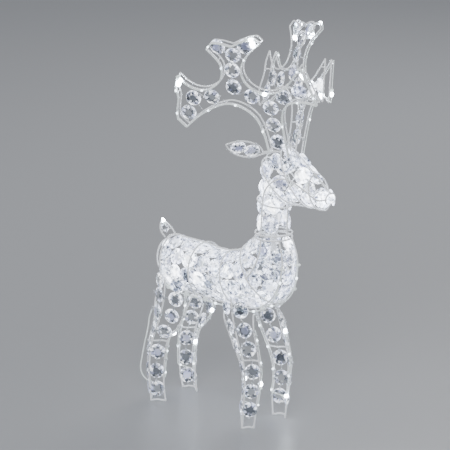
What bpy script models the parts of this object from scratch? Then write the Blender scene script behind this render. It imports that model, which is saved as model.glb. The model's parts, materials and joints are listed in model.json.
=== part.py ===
"""Light-up yard reindeer: wire frames hung with faceted acrylic discs and strings of LEDs.

The reindeer faces +X, its left side is +Y, and its hooves stand on Z = 0. Lengths below are in
millimetres, and the meshes are scaled to metres when they are made. The torso, legs and tail are
one assembly; the neck, head, ears and antlers are another, which turns on an upright post in the neck.
"""

import math

import bmesh
import bpy
from mathutils import Vector

MM = 0.001
DOWN = Vector((0, 0, -1))
LEFTWARDS = Vector((0, 1, 0))

# Frame
WIRE = 1.75  # radius of the frame wire
WIRE_SIDES = 5
SHARP = math.radians(50)  # a wire bent by more than this is mitred from two runs
CLEAR = 0.4  # gap between pieces that touch
WIRE_OUT = -WIRE  # frame wires lie just inside the outer envelope
HOOF_BAR = 4.0  # square bar under each hoof

# Crystals
DISC = 16.5  # radius of an acrylic disc
DISC_HALF = 4.0  # half its thickness
DISC_OUT = -9.6  # discs hang inside the wires
PITCH = 36.0  # spacing of discs along a row
LINK = 0.9  # radius of the wire between discs
NUB = 1.5  # radius of the cap where the wire enters a disc

# Lights
CABLE = 1.1
BULB = 3.0
BULB_HALF = 6.0
CABLE_STEP = 16.0  # the least length of a straight run of light cable
LIGHTS_SCALE = 0.66  # the torso's light string winds this far out from the middle
HEAD_LIGHTS_SCALE = 0.42

# Neck joint
NECK_X = 87.0
COLLAR_Z = 427.0
BASE_RING_Z = 437.0
NECK_RADIUS = 42.0
POST_BORE = 4.0
POST_RADIUS = 6.0
SLEEVE_BORE = 6.6
SLEEVE_RADIUS = 8.4
FLANGE_Z = 431.0  # the head's sleeve rests on the post's flange

# Legs: half spacing of the inner wires and of the outer ridge wire
LEG_INNER_Y = 49.0
LEG_RIDGE_Y = 68.0
HOOK_START_Y = 31.0  # the inner wires hook inwards at their tops, to just short of the torso's rails
HOOK_BEND_Y = 38.0
KNEE_STEP = 5.0  # the knee's cross wires step inwards by this, past the crystals' links
LEG_LIGHTS_IN = 5.2  # the light string runs this far inboard of the inner wires
LEG_LIGHTS_TOP = 222.0
LEG_LIGHTS_FOOT = 54.0

# Antlers
ANTLER_LAYER = 7.5  # half the spacing of the two parallel outlines
ANTLER_SPLAY = 0.434  # sideways run per length backwards
ANTLER_LEAN = 0.26  # sideways run per height
SPACER = 1.3  # radius of the short wires that hold the outlines apart

EAR_HALF = 22.0
EAR_DISC = 14.0
EAR_ROOT = (122.8, 19.5, 626.1)  # where the left ear's stalk meets the head's hoop

LEAD = 1.5

# Envelope stations: (upper x, z), (lower x, z), half width
TORSO = [
    ((-241, 357), (-240, 280), 31),
    ((-217, 372), (-207, 253), 51),
    ((-130, 374), (-125, 250), 57),
    ((-50, 371), (-20, 250), 57),
    ((-4, 385), (70, 258), 58),
    ((17, 406), (125, 300), 57),
    ((35, 420), (144, 372), 50),
    ((45, COLLAR_Z), (129, COLLAR_Z), NECK_RADIUS),
]
HEAD = [
    ((45, BASE_RING_Z), (129, BASE_RING_Z), NECK_RADIUS),
    ((49, 485), (129, 482), 41),
    ((55, 545), (134, 512), 41),
    ((63, 600), (160, 510), 41),
    ((93, 633), (186, 511), 39),
    ((138, 632), (207, 512), 37),
    ((189, 603), (224, 513), 33),
    ((233, 571), (241, 514), 28),
    ((254, 557), (252, 529), 16),
]
RAIL_ANGLE = -60
# Rows of discs on the torso's left side, as (station, angle) knots
TORSO_ROWS = (
    ((1.0, 68), (1.8, 70), (5.6, 70)),
    ((0.75, 30), (5, 30), (6.7, 58)),
    ((0.75, -10), (5, -10), (6.7, -1)),
    ((0.75, -50), (4.4, -50), (5, -47), (5.8, -47), (6.55, -57)),
)
NOSE_DISC = (243, 0, 543)
NOSE_DISC_RADIUS = 14.0
RUMP_DISCS = ((-240.5, 0, 335.5), (-240.5, 0, 300.5))
# Left half of the tail's outline, from its root to its tip
TAIL = [(-230, 16, 366), (-240, 18, 376), (-249, 12, 387), (-254, 0, 400)]
TAIL_DISC = (-245.2, 0, 380.8)
TAIL_DISC_RADIUS = 9.5

# Leg wires seen from the side, (x, z) from the top down
FRONT_LEG = {
    "rear": [
        (-24, 256), (-16, 236), (-9, 220), (6, 192), (32, 148), (44, 113), (43, 80), (36, 45), (39, 2),
    ],
    "ridge": [(25, 288), (28, 251), (48, 187), (63, 155), (68, 122), (65, 70), (59, 2)],
    "front": [(63, 256), (74, 225), (83, 192), (91, 159), (96, 131), (89, 83), (81, 35), (76, 2)],
}
HIND_LEG = {
    "rear": [
        (-228, 256), (-229, 225), (-228, 190), (-239, 157), (-248, 130), (-251, 85), (-250, 40), (-240, 2),
    ],
    "ridge": [(-177, 288), (-181, 240), (-197, 190), (-215, 150), (-225, 120), (-228, 70), (-223, 2)],
    "front": [
        (-125, 256), (-137, 214), (-157, 177), (-187, 150), (-196, 115), (-201, 72), (-202, 35), (-196, 2),
    ],
}
KNEE_Z = {"front": 157, "hind": 141}
LEG_DISCS = {"front": (263, 221, 181, 133, 88, 45), "hind": (247, 206, 166, 115, 70, 29)}

# Outline of an antler in its own plane, (x, z), from the back of the stem round to its front
ANTLER = [
    (108, 626), (106, 664), (101, 693), (91, 713), (70, 729), (45, 736), (19, 728), (-18, 706), (-46, 681),
    (-57, 670), (-73, 688), (-70, 712), (-61, 740), (-66, 760), (-56, 788), (-40, 769), (-19, 759), (4, 762),
    (22, 773), (34, 786), (41, 806), (42, 824), (29, 844), (17, 857), (31, 872), (50, 872), (70, 867),
    (107, 887), (124, 890), (133, 880), (117, 866), (101, 851), (87, 832), (80, 813), (82, 792), (93, 776),
    (110, 766), (130, 765), (152, 771), (167, 782), (182, 799), (206, 833), (216, 795), (228, 748),
    (203, 754), (174, 750), (157, 736), (148, 712), (146, 675), (147, 622),
]
# Where short wires join the two outlines
ANTLER_SPACERS = (1, 5, 8, 12, 17, 21, 26, 30, 36, 40, 44, 48)
# Crystal strands in the antler's plane
ANTLER_STRANDS = {
    "stem": [(126, 650), (124, 689), (125, 728)],
    "crown": [(90, 751), (55, 769), (59, 808), (67, 843), (95, 865)],
    "back": [(5, 742), (-35, 735), (-51, 700)],
    "front": [(157, 756), (191, 773)],
}
ANTLER_DISC = 14.5
# The discs of each strand that a side link holds to the outline
ANTLER_LINKS = {"stem": (0, 2), "crown": (1, 3), "back": (0, 2), "front": (1,)}
# The LEDs' places on an antler's outline
ANTLER_BULBS = [
    (104, 676), (58, 732), (-2, 716), (-66, 700), (-64, 753), (-52, 782), (-10, 760), (42, 815), (22, 862),
    (113, 888), (94, 842), (120, 765), (199, 823), (223, 768), (190, 752), (147, 695),
]

# Free length of lead behind the right hind leg
LEAD_ROUTE = [
    (-231, -56, 207), (-236, -56, 196), (-240, -56, 184), (-242, -56, 170),
    (-247, -56, 150), (-254, -56, 126), (-261, -56, 98), (-267, -56, 72), (-268, -54, 57),
    (-264, -50, 44), (-257, -45, 36), (-248, -42, 34), (-243, -41, 30), (-243, -41, 25),
]


def catmull(points, t):
    """The point at t, from 0 to len(points) - 1, on a smooth curve through the points."""
    last = len(points) - 1
    i = min(max(int(math.floor(t)), 0), last - 1)
    f = t - i
    a, b, c, d = (Vector(points[min(max(k, 0), last)]) for k in (i - 1, i, i + 1, i + 2))
    return 0.5 * (2 * b + (c - a) * f + (2 * a - 5 * b + 4 * c - d) * f**2 + (3 * b - a - 3 * c + d) * f**3)


def smooth(points, per_span):
    """A smooth curve through the points, with that many steps between neighbours."""
    count = (len(points) - 1) * per_span
    return [catmull(points, i / per_span) for i in range(count + 1)]


class Shell:
    """A closed envelope that is swept along stations and bends in the plane Y = 0."""

    def __init__(self, stations):
        rows = [(*upper, *lower, half) for upper, lower, half in stations]
        self.columns = [[(row[k], 0, 0) for row in rows] for k in range(5)]

    def at(self, u, angle, out=0.0, scale=1.0):
        """The point at station u and that angle in degrees: 90 is the upper side, 0 the left."""
        values = [catmull(column, u)[0] for column in self.columns]
        upper, lower = Vector((values[0], 0, values[1])), Vector((values[2], 0, values[3]))
        middle, reach = (upper + lower) / 2, (upper - lower).length / 2
        a = math.radians(angle)
        up = (upper - lower).normalized() * (reach * scale + out) * math.sin(a)
        return middle + up + Vector((0, 1, 0)) * (values[4] * scale + out) * math.cos(a)


def ring_frame(along, hint):
    """Two directions square to along, the first as near to hint as can be."""
    side = (hint - along * hint.dot(along)).normalized()
    return side, along.cross(side)


def tangents(path, closed=False):
    n = len(path)
    found = []
    for i in range(n):
        before = path[(i - 1) % n] if closed or i > 0 else path[i]
        after = path[(i + 1) % n] if closed or i < n - 1 else path[i]
        found.append((after - before).normalized())
    return found


def loft(rings, closed=False):
    """A closed mesh through rings of equal count, with flat ends unless it closes on itself."""
    bm = bmesh.new()
    made = [[bm.verts.new(p * MM) for p in ring] for ring in rings]
    pairs = list(zip(made, made[1:]))
    if closed:
        pairs.append((made[-1], made[0]))
    for near, far in pairs:
        for k in range(len(near)):
            j = (k + 1) % len(near)
            bm.faces.new((near[k], near[j], far[j], far[k]))
    if not closed:
        bm.faces.new(made[0][::-1])
        bm.faces.new(made[-1])
    bmesh.ops.recalc_face_normals(bm, faces=bm.faces)
    return bm


def tube(path, radius=WIRE, sides=WIRE_SIDES, closed=False):
    """A round tube along a path; radius is one number or one for each point."""
    radii = radius if isinstance(radius, list) else [radius] * len(path)
    path = [Vector(p) for p in path]
    along = tangents(path, closed)
    hint = Vector((0, 0, 1)) if abs(along[0].z) < 0.9 else Vector((1, 0, 0))
    rings = []
    for point, direction, r in zip(path, along, radii):
        side, other = ring_frame(direction, hint)
        hint = side
        turns = [2 * math.pi * k / sides for k in range(sides)]
        rings.append([point + (side * math.cos(a) + other * math.sin(a)) * r for a in turns])
    return loft(rings, closed)


def cornered(path, radius=WIRE, sides=WIRE_SIDES):
    """Tubes along a path that turns sharply: a new tube starts at each sharp corner."""
    path = [Vector(p) for p in path]
    runs = [[path[0]]]
    for before, here, after in zip(path, path[1:], path[2:]):
        runs[-1].append(here)
        if (here - before).angle(after - here) > SHARP:
            runs.append([here])
    runs[-1].append(path[-1])
    tubes = []
    for run in runs:
        first = run[0] - (run[1] - run[0]).normalized() * (radius * 0.6)
        last = run[-1] + (run[-1] - run[-2]).normalized() * (radius * 0.6)
        tubes.append(tube([first] + run[1:-1] + [last], radius, sides))
    return tubes


def bar(path, half):
    """A square bar along a path that lies level."""
    path = [Vector(p) for p in path]
    up = Vector((0, 0, 1))
    rings = []
    for point, direction in zip(path, tangents(path)):
        side = direction.cross(up)
        corners = ((-1, -1), (1, -1), (1, 1), (-1, 1))
        rings.append([point + side * (half * i) + up * (half * j) for i, j in corners])
    return loft(rings)


def turned(profile, x, sides=12):
    """A ring turned round the upright line at x from a closed (radius, z) profile."""
    rings = []
    for k in range(sides):
        a = 2 * math.pi * k / sides
        rings.append([Vector((x + r * math.cos(a), r * math.sin(a), z)) for r, z in profile])
    return loft(rings, closed=True)


def material(name, colour, roughness, metallic=0.0, transmission=0.0, glow=0.0):
    made = bpy.data.materials.new(name)
    made.use_nodes = True
    shader = made.node_tree.nodes["Principled BSDF"]
    shader.inputs["Base Color"].default_value = (*colour, 1)
    shader.inputs["Roughness"].default_value = roughness
    shader.inputs["Metallic"].default_value = metallic
    shader.inputs["Transmission Weight"].default_value = transmission
    shader.inputs["Emission Color"].default_value = (*colour, 1)
    shader.inputs["Emission Strength"].default_value = glow
    return made


def add(name, bm, finish):
    mesh = bpy.data.meshes.new(name)
    bm.to_mesh(mesh)
    bm.free()
    made = bpy.data.objects.new(name, mesh)
    bpy.context.scene.collection.objects.link(made)
    mesh.materials.append(finish)
    return made


def fused(name, pieces, finish):
    """One object that is the union of closed pieces which cross or touch one another."""
    whole = add(name, pieces[0], finish)
    others = bpy.data.collections.new(name + "_pieces")
    for number, piece in enumerate(pieces[1:]):
        helper = add(f"{name}_piece_{number}", piece, finish)
        helper.hide_render = True
        helper.display_type = "WIRE"
        others.objects.link(helper)
    union = whole.modifiers.new("union", "BOOLEAN")
    union.operation = "UNION"
    union.operand_type = "COLLECTION"
    union.collection = others
    union.solver = "EXACT"
    union.use_self = True
    bpy.context.view_layer.update()
    joined = bpy.data.meshes.new_from_object(whole.evaluated_get(bpy.context.evaluated_depsgraph_get()))
    whole.modifiers.remove(union)
    whole.data = joined
    joined.name = name
    for helper in list(others.objects):
        bpy.data.objects.remove(helper)
    bpy.data.collections.remove(others)
    return whole


def disc_rings(centre, along, across, half_width=DISC):
    """Four rhombic sections of a disc, from the cap at one end to the cap at the other."""
    across = (across - along * across.dot(along)).normalized()
    normal = along.cross(across)
    rings = []
    sections = ((-1, NUB, NUB), (-0.5, half_width, DISC_HALF), (0.5, half_width, DISC_HALF), (1, NUB, NUB))
    for place, wide, deep in sections:
        middle = centre + along * (DISC * place)
        corners = (across * wide, normal * deep, -across * wide, -normal * deep)
        rings.append([middle + corner for corner in corners])
    return rings


def strand(name, discs, finish, side_links=()):
    """Discs in a line, joined by short links of wire, with links to the side where it hangs by them."""
    rings = []
    for disc in discs:
        made = disc_rings(*disc)
        if rings:
            before = rings[-1]
            made = aligned(before, made)
        rings += made
    if side_links:
        return fused(name, [loft(rings), *side_links], finish)
    return add(name, loft(rings), finish)


def side_link(disc, place):
    """A thin wire from inside a disc's edge to just short of a frame wire's centre line."""
    centre, _, _, half_width = disc
    away = (place - centre).normalized()
    return tube([centre + away * (half_width * 0.5), place - away * (WIRE + CLEAR)], LINK)


def aligned(before, rings):
    """The rings with their corners numbered so that they match the ring before."""
    middle, start = sum(before, Vector()) / 4, sum(rings[0], Vector()) / 4
    errors = []
    for shift in range(4):
        turned_ring = rings[0][shift:] + rings[0][:shift]
        errors.append(sum(((a - middle) - (b - start)).length for a, b in zip(before, turned_ring)))
    best = errors.index(min(errors))
    return [ring[best:] + ring[:best] for ring in rings]


def shell_row(shell, *knots):
    """Discs spaced evenly along a shell, through knots of (station, angle)."""
    steps = 200
    stations, angles = [], []
    for i in range(steps + 1):
        u = knots[0][0] + (knots[-1][0] - knots[0][0]) * i / steps
        near, far = next((a, b) for a, b in zip(knots, knots[1:]) if u <= b[0] + 1e-6)
        stations.append(u)
        angles.append(near[1] + (far[1] - near[1]) * (u - near[0]) / (far[0] - near[0]))
    line = [shell.at(u, a, DISC_OUT) for u, a in zip(stations, angles)]
    lengths = [0.0]
    for p, q in zip(line, line[1:]):
        lengths.append(lengths[-1] + (q - p).length)
    count = max(1, int(lengths[-1] / PITCH))
    discs = []
    for k in range(count):
        target = lengths[-1] * (k + 0.5) / count
        i = next(i for i in range(1, steps) if lengths[i] >= target)
        beside = [shell.at(stations[i], angles[i] + step, DISC_OUT) for step in (-2, 2)]
        along = (line[i + 1] - line[i - 1]).normalized()
        discs.append((line[i], along, (beside[1] - beside[0]).normalized()))
    return discs


def lengths_of(path):
    """How far along a path each of its points is."""
    found = [0.0]
    for p, q in zip(path, path[1:]):
        found.append(found[-1] + (q - p).length)
    return found


def point_along(path, lengths, target):
    i = next((i for i in range(1, len(path) - 1) if lengths[i] >= target), len(path) - 1)
    share = (target - lengths[i - 1]) / (lengths[i] - lengths[i - 1])
    return path[i - 1].lerp(path[i], share)


def even(length, gap):
    """Distances that share a length out evenly, about a gap apart."""
    count = max(1, int(length / gap))
    return [length * (k + 0.5) / count for k in range(count)]


def bulb_string(name, path, bulbs, finish):
    """A light cable along a path, swollen at each LED, as one closed loft; bulbs are distances along it."""
    lengths = lengths_of(path)
    stops = [(0.0, CABLE)]
    for middle in bulbs:
        for at in lengths:
            if stops[-1][0] + CABLE_STEP < at < middle - BULB_HALF - CABLE_STEP:
                stops.append((at, CABLE))
        stops += [(middle - BULB_HALF - 1, CABLE), (middle - BULB_HALF, BULB)]
        stops += [(middle + BULB_HALF, BULB), (middle + BULB_HALF + 1, CABLE)]
    stops.append((lengths[-1], CABLE))
    points = [point_along(path, lengths, at) for at, _ in stops]
    return add(name, tube(points, [radius for _, radius in stops], sides=4), finish)


# Torso


def arch(shell, u, first, last, steps=14):
    """A wire part of the way round a shell at one station."""
    return tube([shell.at(u, first + (last - first) * i / steps, WIRE_OUT) for i in range(steps + 1)])


def ring(shell, u, step):
    """A closed wire round a shell at one station, with a point at each step of the angle."""
    return tube([shell.at(u, angle, WIRE_OUT) for angle in range(0, 360, step)], closed=True)


def rib(shell, stations, angle):
    """A lengthwise wire along a shell at one angle, through those stations."""
    return tube([shell.at(u, angle, WIRE_OUT) for u in stations])


def torso_frame(shell, finish):
    """Spine, two lower rails, arches over the back, and rings at the rump, shoulder and collar."""
    pieces = [rib(shell, [0, 0.5, 1, 2, 3, 3.6, 4.2, 5, 6, 7], 90)]
    for angle in (RAIL_ANGLE, 180 - RAIL_ANGLE):
        pieces.append(rib(shell, [0, 0.5, 1, 2, 3, 3.4, 3.8, 4.2, 4.6, 5, 5.5, 6, 6.5, 7], angle))
    for angle in (0, 180):
        pieces.append(rib(shell, [4.6, 5.2, 5.8, 6.4, 7], angle))
    for u in (1, 2.1, 3.2):
        pieces.append(arch(shell, u, RAIL_ANGLE - 3, 180 - RAIL_ANGLE + 3))
    pieces += [ring(shell, 0, 30), ring(shell, 4.6, 24), ring(shell, 7, 20)]
    return fused("torso_frame", pieces, finish)


def torso_rows(shell, finish):
    for number, knots in enumerate(TORSO_ROWS, start=1):
        strand(f"torso_row_left_{number}", shell_row(shell, *knots), finish)
        mirrored = [(u, 180 - angle) for u, angle in knots]
        strand(f"torso_row_right_{number}", shell_row(shell, *mirrored), finish)
    strand("chest_row", shell_row(shell, (4.75, -90), (5.8, -90)), finish)
    strand("rump_row", [(Vector(place), DOWN, LEFTWARDS) for place in RUMP_DISCS], finish)


def tail(wire, crystal):
    mirrored = [(x, -y, z) for x, y, z in TAIL[-2::-1]]
    add("tail_frame", tube(TAIL + mirrored), wire)
    along = Vector((TAIL[0][0] - TAIL[-1][0], 0, TAIL[0][2] - TAIL[-1][2])).normalized()
    strand("tail_crystal", [(Vector(TAIL_DISC), along, LEFTWARDS, TAIL_DISC_RADIUS)], crystal)


# Legs


def leg_frame(name, leg, knee, side, finish):
    """Three wires, a hoof bar, cross wires at the knee and hooks that reach the torso's rail."""
    pieces = []
    for kind, y in (("rear", LEG_INNER_Y), ("ridge", LEG_RIDGE_Y), ("front", LEG_INNER_Y)):
        line = [(x, side * y, z) for x, z in leg[kind]]
        if kind != "ridge":
            x, _, z = line[0]
            line = [(x, side * HOOK_START_Y, z - 3), (x, side * HOOK_BEND_Y, z - 2)] + line[1:]
        pieces.append(tube(line))
    at_rear, at_ridge, at_front = (
        Vector((at_height(leg[kind], knee), side * y, knee))
        for kind, y in (("rear", LEG_INNER_Y), ("ridge", LEG_RIDGE_Y), ("front", LEG_INNER_Y))
    )
    inwards = Vector((0, -side * KNEE_STEP, 0))
    behind, ahead = (at_rear + at_ridge) / 2 + inwards, (at_ridge + at_front) / 2 + inwards
    pieces.append(tube([at_rear, behind, at_ridge, ahead, at_front]))
    half = HOOF_BAR / 2
    rear, ridge, front = (leg[kind][-1][0] for kind in ("rear", "ridge", "front"))
    hoof = [(rear - 4, LEG_INNER_Y), (rear + 3, LEG_INNER_Y), (ridge, LEG_RIDGE_Y)]
    hoof += [(front - 3, LEG_INNER_Y), (front + 4, LEG_INNER_Y)]
    pieces.append(bar([(x, side * y, half) for x, y in hoof], half))
    return fused(name, pieces, finish)


def at_height(line, height):
    """Where a leg wire is, along X, at a height; above its top it counts as upright."""
    for (x, z), (next_x, next_z) in zip(line, line[1:]):
        if next_z <= height:
            return x + (next_x - x) * max(0, z - height) / (z - next_z)
    return line[-1][0]


def leg_strand(name, leg, kind, side, finish, heights):
    """Discs down the panel between an inner wire and the ridge wire."""
    discs = []
    for z in heights:
        ends = []
        for level in (z + 6, z, z - 6):
            a = Vector((at_height(leg[kind], level), side * LEG_INNER_Y, level))
            b = Vector((at_height(leg["ridge"], level), side * LEG_RIDGE_Y, level))
            ends.append((a, b))
        centre = (ends[1][0] + ends[1][1]) / 2
        along = (sum(ends[2], Vector()) - sum(ends[0], Vector())).normalized()
        across = ends[1][1] - ends[1][0]
        across = across - along * across.dot(along)
        room = across.length / 2 - WIRE - 1.6
        discs.append((centre, along, across.normalized(), min(DISC, room)))
    strand(name, discs, finish)


# Neck joint


def spokes(z, hub):
    """Three wires from a hub out to just inside the ring round the neck."""
    rim = NECK_RADIUS - 2 * WIRE - 3 * CLEAR
    found = []
    for k in range(3):
        a = math.radians(60 + 120 * k)
        reach = Vector((math.cos(a), math.sin(a), 0))
        found.append(tube([Vector((NECK_X, 0, z)) + reach * hub, Vector((NECK_X, 0, z)) + reach * rim]))
    return found


def neck_post(finish):
    below = [(POST_BORE, 396), (POST_RADIUS, 396), (POST_RADIUS, FLANGE_Z - 8)]
    flange = [(SLEEVE_RADIUS, FLANGE_Z - 8), (SLEEVE_RADIUS, FLANGE_Z), (POST_RADIUS, FLANGE_Z)]
    above = [(POST_RADIUS, 474), (POST_BORE, 474)]
    return fused("neck_post", [turned(below + flange + above, NECK_X)] + spokes(COLLAR_Z, 7.2), finish)


def neck_sleeve(finish):
    foot = FLANGE_Z + CLEAR
    profile = [(SLEEVE_BORE, foot), (SLEEVE_RADIUS, foot), (SLEEVE_RADIUS, 486), (SLEEVE_BORE, 486)]
    return fused("neck_sleeve", [turned(profile, NECK_X)] + spokes(BASE_RING_Z + 1, 7.5), finish)


# Head


def head_frame(shell, finish):
    pieces = []
    upper = [0, 1, 2, 2.6, 3, 3.4, 3.8, 4.3, 5, 6, 7, 7.6, 8]
    lower = [0, 1, 1.6, 2, 2.4, 2.8, 3.4, 4.3, 5, 6, 7, 8]
    for angle, stations in ((90, upper), (-90, lower), (0, lower), (180, lower)):
        pieces.append(rib(shell, stations, angle))
    pieces += [ring(shell, 0, 18), ring(shell, 8, 45)]
    pieces += [ring(shell, u, 30) for u in (1.5, 3, 4.6, 6.4)]
    return fused("head_frame", pieces, finish)


def head_rows(shell, finish):
    strand("neck_row_back", shell_row(shell, (0.12, 90), (2.95, 90)), finish)
    strand("neck_row_front", shell_row(shell, (0.12, -90), (1.7, -90)), finish)
    for side, mirror in (("left", False), ("right", True)):
        def angle(a):
            return 180 - a if mirror else a
        upper = shell_row(shell, (0.12, angle(30)), (3, angle(34)), (6.2, angle(40)))
        lower = shell_row(shell, (0.12, angle(-30)), (3, angle(-34)), (6.4, angle(-42)))
        strand(f"head_row_{side}_upper", upper, finish)
        strand(f"head_row_{side}_lower", lower, finish)
    strand("nose_crystal", [(Vector(NOSE_DISC), DOWN, LEFTWARDS, NOSE_DISC_RADIUS)], finish)


def ear(name, side, finish):
    base, tip = Vector((94, side * 42, 622)), Vector((58, side * 118, 648))
    reach = tip - base
    wide = Vector((0.55, 0, 0.83)).normalized()
    shape = [(0, 0.15), (0.16, 0.75), (0.4, 1), (0.65, 0.92), (0.86, 0.5), (1, 0)]
    upper = [base + reach * s + wide * (EAR_HALF * w) for s, w in shape]
    lower = [base + reach * s - wide * (EAR_HALF * w) for s, w in shape[:-1]]
    outline = upper + lower[::-1]
    root = Vector((EAR_ROOT[0], side * EAR_ROOT[1], EAR_ROOT[2]))
    stalk = tube([base + reach * 0.005, base.lerp(root, 0.5) + Vector((0, 0, 1.5)), root])
    fused(f"ear_frame_{name}", [tube(outline, closed=True), stalk], finish[0])
    along = reach.normalized()
    discs = [(base + reach * s, along, wide, EAR_DISC) for s in (0.29, 0.66)]
    strand(f"ear_crystals_{name}", discs, finish[1])


# Antlers


def antler_point(x, z, side, layer=0.0):
    """A point of the antler's slanting plane, moved square to it by layer."""
    y = 26 + ANTLER_SPLAY * (132 - x) + ANTLER_LEAN * (z - 647)
    square = Vector((ANTLER_SPLAY, 1, -ANTLER_LEAN)).normalized()
    point = Vector((x, y, z)) + square * layer
    return Vector((point.x, side * point.y, point.z))


def outline_hit(x, z, run_x, run_z):
    """How far a line in the antler's plane runs before it first meets the outline."""
    hits = []
    for (ax, az), (bx, bz) in zip(ANTLER, ANTLER[1:]):
        cross = run_x * (bz - az) - run_z * (bx - ax)
        if abs(cross) > 1e-6:
            far = ((ax - x) * (bz - az) - (az - z) * (bx - ax)) / cross
            share = ((ax - x) * run_z - (az - z) * run_x) / cross
            if 0 <= share <= 1 and far > 0:
                hits.append(far)
    return min(hits, default=math.inf)


def antler(name, side, wire, crystal):
    pieces = []
    for layer in (-ANTLER_LAYER, ANTLER_LAYER):
        pieces += cornered([antler_point(x, z, side, layer) for x, z in ANTLER], sides=4)
    for index in ANTLER_SPACERS:
        spot = Vector(ANTLER[index]).lerp(Vector(ANTLER[index + 1]), 0.4).to_tuple()
        ends = [antler_point(*spot, side, layer) for layer in (-ANTLER_LAYER, ANTLER_LAYER)]
        pieces.append(tube(ends, SPACER))
    fused(f"antler_frame_{name}", pieces, wire)
    square = antler_point(0, 0, side, 1) - antler_point(0, 0, side)
    for part, spots in ANTLER_STRANDS.items():
        centres = [antler_point(x, z, side) for x, z in spots]
        discs = []
        for centre, direction in zip(centres, tangents(centres)):
            discs.append((centre, direction, direction.cross(square), ANTLER_DISC))
        flat = tangents([Vector((x, 0, z)) for x, z in spots])
        links = []
        for number in ANTLER_LINKS[part]:
            (x, z), along = spots[number], flat[number]
            options = [(outline_hit(x, z, sign * along.z, -sign * along.x), sign) for sign in (1, -1)]
            far, sign = min(options)
            place = antler_point(x + sign * along.z * far, z - sign * along.x * far, side, ANTLER_LAYER)
            links.append(side_link(discs[number], place))
        strand(f"antler_{part}_{name}", discs, crystal, links)


# Lights


def nearest(path, lengths, place):
    """How far along a path it comes nearest to a place."""
    best = None
    for i, (a, b) in enumerate(zip(path, path[1:])):
        share = min(max((place - a).dot(b - a) / (b - a).length_squared, 0), 1)
        gap = (a.lerp(b, share) - place).length
        if best is None or gap < best[0]:
            best = (gap, lengths[i] + share * (b - a).length)
    return best[1]


def antler_lights(name, side, finish):
    """A light string clipped along the outer face of an antler's outline."""
    lift = ANTLER_LAYER + WIRE + CLEAR + BULB
    path = [antler_point(x, z, side, lift) for x, z in ANTLER]
    lengths = lengths_of(path)
    bulbs = [nearest(path, lengths, antler_point(x, z, side, lift)) for x, z in ANTLER_BULBS]
    bulb_string(name, path, bulbs, finish)


def leg_lights(name, leg, side, finish):
    """A light string down a leg's rear wire, across, and up its front wire."""
    y = side * (LEG_INNER_Y - LEG_LIGHTS_IN)
    levels = [LEG_LIGHTS_TOP + (LEG_LIGHTS_FOOT - LEG_LIGHTS_TOP) * i / 8 for i in range(9)]
    path = [Vector((at_height(leg["rear"], z), y, z)) for z in levels]
    path += [Vector((at_height(leg["front"], z), y, z)) for z in levels[::-1]]
    bulb_string(name, path, even(lengths_of(path)[-1], 46), finish)


def lights(torso, head, finish):
    """The strings inside the torso and the head, and those along the legs and antlers."""
    count = 56
    winding = []
    for i in range(count + 1):
        share = i / count
        winding.append(torso.at(0.9 + 5.1 * share, 200 + 5.0 * 360 * share, 0, LIGHTS_SCALE))
    winding += [Vector((NECK_X, 0, z)) for z in (378, 394, 440, 478)]
    bulb_string("torso_lights", winding, even(lengths_of(winding)[-1], 72), finish)
    count = 36
    winding = [Vector((NECK_X, 0, z)) for z in (488, 496)]
    for i in range(count + 1):
        share = i / count
        winding.append(head.at(1.9 + 5.2 * share, 90 + 3.0 * 360 * share, 0, HEAD_LIGHTS_SCALE))
    bulb_string("head_lights", winding, even(lengths_of(winding)[-1], 66), finish)
    for side, sign in (("left", 1), ("right", -1)):
        antler_lights(f"antler_lights_{side}", sign, finish)
        for end, leg in (("front", FRONT_LEG), ("hind", HIND_LEG)):
            leg_lights(f"leg_lights_{end}_{side}", leg, sign, finish)


# Lead


def lead(cable, plastic):
    """The loop of lead behind the right hind leg, the tie that holds it and the inlet it ends in."""
    route = smooth(LEAD_ROUTE, 2)
    curve = bpy.data.curves.new("lead_cable", "CURVE")
    curve.dimensions = "3D"
    curve.bevel_depth = LEAD * MM
    curve.bevel_resolution = 2
    curve.use_fill_caps = True
    spline = curve.splines.new("POLY")
    spline.points.add(len(route) - 1)
    for spot, point in zip(spline.points, route):
        spot.co = (*(point * MM), 1)
    made = bpy.data.objects.new("lead_cable", curve)
    bpy.context.scene.collection.objects.link(made)
    curve.materials.append(cable)
    start, away = Vector(LEAD_ROUTE[0]), (Vector(LEAD_ROUTE[0]) - Vector(LEAD_ROUTE[1])).normalized()
    sleeve = [start + away * (CLEAR + 0.2), start + away * 4, start + away * 8]
    add("lead_relief", tube(sleeve, [1.9, 2.3, 2.5], 8), plastic)
    x, y, z = LEAD_ROUTE[-1]
    profile = [(0.8, z - 22), (5, z - 22), (5, z - 4), (2.6, z - CLEAR), (0.8, z - CLEAR)]
    bm = turned(profile, 0)
    bmesh.ops.translate(bm, verts=bm.verts, vec=Vector((x, y, 0)) * MM)
    add("power_inlet", bm, plastic)


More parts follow.
